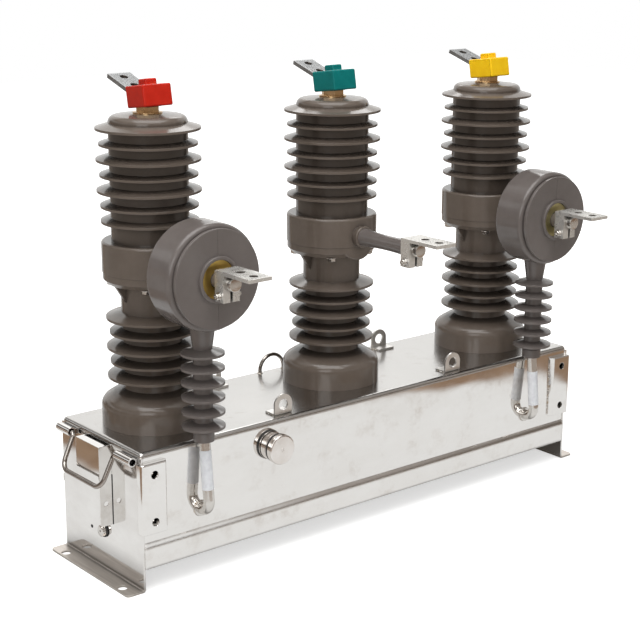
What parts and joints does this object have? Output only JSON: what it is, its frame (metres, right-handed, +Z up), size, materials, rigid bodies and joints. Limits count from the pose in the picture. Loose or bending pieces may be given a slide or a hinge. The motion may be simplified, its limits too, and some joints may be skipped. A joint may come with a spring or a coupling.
{
  "type": "outdoor vacuum circuit breaker",
  "caption": "Outdoor vacuum circuit breaker: shedded resin poles with bolted terminals and ring current transformers on a polished steel mechanism box with foot flanges and a bail handle.",
  "frame": {"origin": "on the ground, at the centre of the foot bolt pattern", "axes": "+X along the box from the handle end, +Y from the load side to the line side, +Z up"},
  "size_m": [0.9452, 0.3563, 0.714],
  "materials": {
    "polished_stainless": "mirror polished sheet",
    "satin_stainless": "satin sheet and rod",
    "epoxy_resin": "cast outdoor resin, satin",
    "tinned_copper": "tinned copper, satin",
    "brass": "machined",
    "passivated_steel": "yellow passivated",
    "cover_red": "moulded silicone",
    "cover_green": "moulded silicone",
    "cover_yellow": "moulded silicone"
  },
  "bodies": {
    "base": {"base_pan": "polished_stainless", "bushing_arm_left": "epoxy_resin", "bushing_arm_middle": "epoxy_resin", "bushing_arm_right": "epoxy_resin", "conductor_rod_left": "tinned_copper", "conductor_rod_middle": "tinned_copper", "conductor_rod_right": "tinned_copper", "conduit_left": "satin_stainless", "conduit_right": "satin_stainless", "connector_cap": "polished_stainless", "corner_bracket_left": "polished_stainless", "corner_bracket_right": "polished_stainless", "ct_retainer_left": "passivated_steel", "ct_retainer_right": "passivated_steel", "current_transformer_left": "epoxy_resin", "current_transformer_right": "epoxy_resin", "end_plate_left": "satin_stainless", "end_plate_right": "satin_stainless", "end_plug": "satin_stainless", "front_terminal_left": "tinned_copper", "front_terminal_middle": "tinned_copper", "front_terminal_right": "tinned_copper", "housing": "polished_stainless", "indicator_hood": "polished_stainless", "lid": "polished_stainless", "lifting_lug_front_left": "satin_stainless", "lifting_lug_front_right": "satin_stainless", "lifting_lug_rear_left": "satin_stainless", "lifting_lug_rear_right": "satin_stainless", "pole_lower_left": "epoxy_resin", "pole_lower_middle": "epoxy_resin", "pole_lower_right": "epoxy_resin", "pole_upper_left": "epoxy_resin", "pole_upper_middle": "epoxy_resin", "pole_upper_right": "epoxy_resin", "rear_ring": "satin_stainless", "terminal_cover_green": "cover_green", "terminal_cover_red": "cover_red", "terminal_cover_yellow": "cover_yellow", "terminal_nut_left": "brass", "terminal_nut_middle": "brass", "terminal_nut_right": "brass", "top_terminal_left": "tinned_copper", "top_terminal_middle": "tinned_copper", "top_terminal_right": "tinned_copper"},
    "handle": {"bail_handle": "satin_stainless"}
  },
  "joints": [
    {"name": "handle_swing", "type": "hinge", "parent": "base", "child": "handle", "pos_m": [-0.4495, 0.003, 0.197], "axis": [0, 1, 0], "range_deg": [0, 150]}
  ]
}
